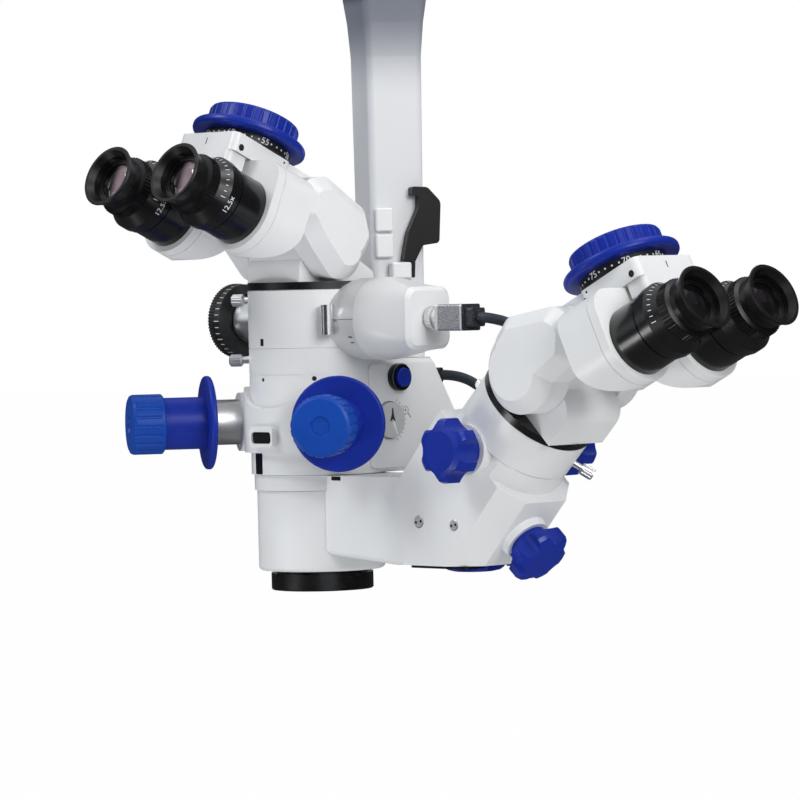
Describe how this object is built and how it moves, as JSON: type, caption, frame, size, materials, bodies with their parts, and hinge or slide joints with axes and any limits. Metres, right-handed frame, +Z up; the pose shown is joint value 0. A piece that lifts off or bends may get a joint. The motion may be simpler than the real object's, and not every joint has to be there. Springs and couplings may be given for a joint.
{
  "type": "surgical microscope",
  "caption": "Suspended surgical microscope head with an inclinable binocular tube, a swinging assistant scope, splayed handles and a camera port.",
  "frame": {"origin": "centre of the top face of the arm's mounting flange, on the swivel axis", "axes": "+Z up along the hanging column, the surgeon sits towards -Y, the assistant towards +X"},
  "size_m": [0.4975, 0.2749, 0.414],
  "materials": {
    "white_paint": "semi-gloss powder coat",
    "arm_paint": "semi-gloss powder coat",
    "blue_cap": "satin autoclavable silicone",
    "black_gloss": "glossy black",
    "black_satin": "satin black",
    "black_anodised": "black anodised aluminium",
    "eyecup_rubber": "matt soft rubber",
    "bare_aluminium": "satin turned",
    "steel": "turned",
    "lens_glass": "coated optical glass",
    "cable_jacket": "satin cable jacket"
  },
  "bodies": {
    "hanging_arm": {"arm_column": "arm_paint", "arm_flange": "arm_paint", "swivel_shaft": "steel", "cable_clips": "arm_paint", "cable_hook": "black_satin"},
    "microscope_head": {"body_housing": "white_paint", "side_panel": "white_paint", "objective_housing": "white_paint", "objective_lens": "lens_glass", "objective_ring": "black_anodised", "beam_splitter_housing": "white_paint", "beam_splitter_prism": "lens_glass", "iris_port_neck": "bare_aluminium", "clamp_screws": "steel", "camera_collar": "bare_aluminium", "camera_housing": "white_paint", "camera_connector": "steel", "camera_cable": "cable_jacket", "cable_gland": "black_satin", "handle_carrier": "white_paint", "handle_tubes": "bare_aluminium", "surgeon_mount_ring": "black_anodised", "surgeon_tube_base": "white_paint"},
    "depth_button": {"focus_depth_button": "blue_cap"},
    "zoom_dial": {"zoom_dial": "bare_aluminium"},
    "left_grip": {"grip_left": "blue_cap"},
    "right_grip": {"grip_right": "blue_cap"},
    "iris_wheel": {"iris_wheel": "black_anodised"},
    "assistant_scope": {"assistant_foot": "white_paint", "assistant_housing": "white_paint", "assistant_bottom_cover": "black_satin", "assistant_tube": "white_paint", "assistant_clamp_screws": "steel", "assistant_mount_ring": "black_anodised", "assistant_tube_base": "white_paint"},
    "focus_knobs": {"assistant_focus_knobs": "blue_cap"},
    "tilt_knob": {"assistant_tilt_knob": "blue_cap"},
    "lock_knob": {"assistant_lock_knob": "blue_cap"},
    "surgeon_arms": {"surgeon_swing_arms": "white_paint"},
    "surgeon_eye_head": {"surgeon_head": "white_paint"},
    "surgeon_distance_knob": {"surgeon_distance_knob": "blue_cap"},
    "surgeon_left_collar": {"surgeon_collar_left": "white_paint", "surgeon_eyepiece_left": "black_gloss", "surgeon_eye_lens_left": "lens_glass"},
    "surgeon_left_eyecup": {"surgeon_eyecup_left": "eyecup_rubber"},
    "surgeon_right_collar": {"surgeon_collar_right": "white_paint", "surgeon_eyepiece_right": "black_gloss", "surgeon_eye_lens_right": "lens_glass"},
    "surgeon_right_eyecup": {"surgeon_eyecup_right": "eyecup_rubber"},
    "assistant_arms": {"assistant_swing_arms": "white_paint"},
    "assistant_eye_head": {"assistant_head": "white_paint"},
    "assistant_distance_knob": {"assistant_distance_knob": "blue_cap"},
    "assistant_left_collar": {"assistant_collar_left": "white_paint", "assistant_eyepiece_left": "black_gloss", "assistant_eye_lens_left": "lens_glass"},
    "assistant_left_eyecup": {"assistant_eyecup_left": "eyecup_rubber"},
    "assistant_right_collar": {"assistant_collar_right": "white_paint", "assistant_eyepiece_right": "black_gloss", "assistant_eye_lens_right": "lens_glass"},
    "assistant_right_eyecup": {"assistant_eyecup_right": "eyecup_rubber"}
  },
  "joints": [
    {"name": "head_swivel", "type": "hinge", "parent": "hanging_arm", "child": "microscope_head", "pos_m": [0, 0, -0.259], "axis": [0, 0, 1], "range_deg": [-35, 35]},
    {"name": "depth_button_press", "type": "slide", "parent": "microscope_head", "child": "depth_button", "axis": [-1, 0, 0], "range_m": [0, 0.002], "stiffness_N_per_m": 600, "springref_m": -0.001},
    {"name": "zoom_dial_turn", "type": "hinge", "parent": "microscope_head", "child": "zoom_dial", "pos_m": [0.0465, -0.052, -0.3], "axis": [1, 0, 0], "range_deg": [-140, 140]},
    {"name": "left_grip_turn", "type": "hinge", "parent": "microscope_head", "child": "left_grip", "pos_m": [-0.06276, -0.11411, -0.3], "axis": [-0.5446, -0.8387, 0], "range_deg": [-60, 60]},
    {"name": "right_grip_turn", "type": "hinge", "parent": "microscope_head", "child": "right_grip", "pos_m": [0.06276, -0.11411, -0.3], "axis": [0.5446, -0.8387, 0], "range_deg": [-60, 60]},
    {"name": "iris_wheel_turn", "type": "hinge", "parent": "microscope_head", "child": "iris_wheel", "pos_m": [-0.071, -0.072, -0.231], "axis": [-1, 0, 0], "range_deg": [-75, 75]},
    {"name": "assistant_swing", "type": "hinge", "parent": "microscope_head", "child": "assistant_scope", "pos_m": [0, -0.072, -0.3405], "axis": [0, 0, 1], "range_deg": [-18, 5]},
    {"name": "focus_knobs_turn", "type": "hinge", "parent": "assistant_scope", "child": "focus_knobs", "pos_m": [0.17884, -0.072, -0.31616], "axis": [0, 1, 0], "range_deg": [-150, 150]},
    {"name": "tilt_knob_turn", "type": "hinge", "parent": "assistant_scope", "child": "tilt_knob", "pos_m": [0.18951, -0.072, -0.37378], "axis": [0.7391, 0, -0.6736], "range_deg": [-150, 150]},
    {"name": "lock_knob_turn", "type": "hinge", "parent": "assistant_scope", "child": "lock_knob", "pos_m": [0.144, -0.072, -0.393], "axis": [0, 0, -1], "range_deg": [-150, 150]},
    {"name": "surgeon_lower_tilt", "type": "hinge", "parent": "microscope_head", "child": "surgeon_arms", "pos_m": [0, -0.089, -0.1848], "axis": [1, 0, 0], "range_deg": [-15, 15]},
    {"name": "surgeon_upper_tilt", "type": "hinge", "parent": "surgeon_arms", "child": "surgeon_eye_head", "pos_m": [0, -0.11, -0.157], "axis": [1, 0, 0], "range_deg": [-15, 15]},
    {"name": "surgeon_distance_turn", "type": "hinge", "parent": "surgeon_eye_head", "child": "surgeon_distance_knob", "pos_m": [0, -0.13236, -0.11256], "axis": [0, 0.4067, 0.9135], "range_deg": [-100, 91]},
    {"name": "surgeon_left_slide", "type": "slide", "parent": "surgeon_eye_head", "child": "surgeon_left_collar", "axis": [-1, 0, 0], "range_m": [-0.00525, 0.00475]},
    {"name": "surgeon_left_diopter", "type": "hinge", "parent": "surgeon_left_collar", "child": "surgeon_left_eyecup", "pos_m": [-0.03275, -0.21193, -0.14008], "axis": [0, -0.9135, 0.4067], "range_deg": [-90, 90]},
    {"name": "surgeon_right_slide", "type": "slide", "parent": "surgeon_eye_head", "child": "surgeon_right_collar", "axis": [1, 0, 0], "range_m": [-0.00525, 0.00475]},
    {"name": "surgeon_right_diopter", "type": "hinge", "parent": "surgeon_right_collar", "child": "surgeon_right_eyecup", "pos_m": [0.03275, -0.21193, -0.14008], "axis": [0, -0.9135, 0.4067], "range_deg": [-90, 90]},
    {"name": "assistant_lower_tilt", "type": "hinge", "parent": "assistant_scope", "child": "assistant_arms", "pos_m": [0.23011, -0.072, -0.26489], "axis": [0, 1, 0], "range_deg": [-5, 15]},
    {"name": "assistant_upper_tilt", "type": "hinge", "parent": "assistant_arms", "child": "assistant_eye_head", "pos_m": [0.26037, -0.072, -0.24764], "axis": [0, 1, 0], "range_deg": [-5, 15]},
    {"name": "assistant_distance_turn", "type": "hinge", "parent": "assistant_eye_head", "child": "assistant_distance_knob", "pos_m": [0.28156, -0.072, -0.20264], "axis": [-0.4305, 0, 0.9026], "range_deg": [-100, 91]},
    {"name": "assistant_left_slide", "type": "slide", "parent": "assistant_eye_head", "child": "assistant_left_collar", "axis": [0, -1, 0], "range_m": [-0.00525, 0.00475]},
    {"name": "assistant_left_diopter", "type": "hinge", "parent": "assistant_left_collar", "child": "assistant_left_eyecup", "pos_m": [0.36183, -0.10475, -0.22806], "axis": [0.9026, 0, 0.4305], "range_deg": [-90, 90]},
    {"name": "assistant_right_slide", "type": "slide", "parent": "assistant_eye_head", "child": "assistant_right_collar", "axis": [0, 1, 0], "range_m": [-0.00525, 0.00475]},
    {"name": "assistant_right_diopter", "type": "hinge", "parent": "assistant_right_collar", "child": "assistant_right_eyecup", "pos_m": [0.36183, -0.03925, -0.22806], "axis": [0.9026, 0, 0.4305], "range_deg": [-90, 90]}
  ],
  "couplings": [
    {"joint": "surgeon_upper_tilt", "follows": "surgeon_lower_tilt", "ratio": 1},
    {"joint": "surgeon_right_slide", "follows": "surgeon_left_slide", "ratio": 1},
    {"joint": "surgeon_distance_turn", "follows": "surgeon_left_slide", "rad_per_m": 331.61},
    {"joint": "assistant_upper_tilt", "follows": "assistant_lower_tilt", "ratio": 1},
    {"joint": "assistant_right_slide", "follows": "assistant_left_slide", "ratio": 1},
    {"joint": "assistant_distance_turn", "follows": "assistant_left_slide", "rad_per_m": 331.61}
  ]
}
